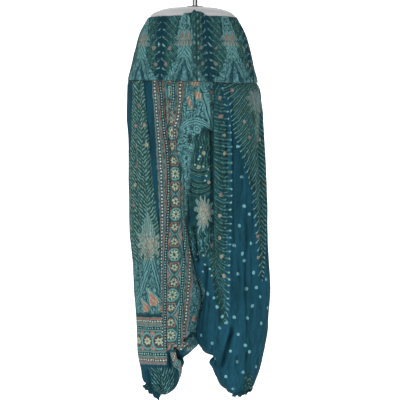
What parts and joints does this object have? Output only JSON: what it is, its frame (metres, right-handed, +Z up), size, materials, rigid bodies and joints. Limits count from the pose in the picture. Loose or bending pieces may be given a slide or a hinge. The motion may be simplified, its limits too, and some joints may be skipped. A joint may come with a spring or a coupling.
{
  "type": "harem pants on a hanging hip form",
  "caption": "Printed low-crotch harem pants with a deep yoke waistband, full legs and gathered elastic cuffs, worn on a smooth limbless hip form that hangs by a short rod.",
  "frame": {"origin": "centre of the top face of the rod that the form hangs by", "axes": "+Z up along the rod, -Y towards the front of the pants, +X towards the wearer's left"},
  "size_m": [0.3655, 0.2415, 1.0499],
  "materials": {
    "form_white": "smooth satin white shell of a display form",
    "polished_steel": "polished round tube and plate",
    "yoke_print": "matt crinkled rayon, dark teal and green with a feather and star-flower print",
    "leg_print": "matt crinkled rayon, dark teal with a feather, paisley and medallion-border print"
  },
  "bodies": {
    "root": {"hip_form": "form_white", "form_flange": "polished_steel", "hanging_rod": "polished_steel", "yoke_front_right": "yoke_print", "yoke_front_left": "yoke_print", "yoke_back": "yoke_print", "leg_right_front": "leg_print", "leg_right_back": "leg_print", "leg_left_front": "leg_print", "leg_left_back": "leg_print", "hem_right": "leg_print", "hem_left": "leg_print"}
  },
  "joints": []
}
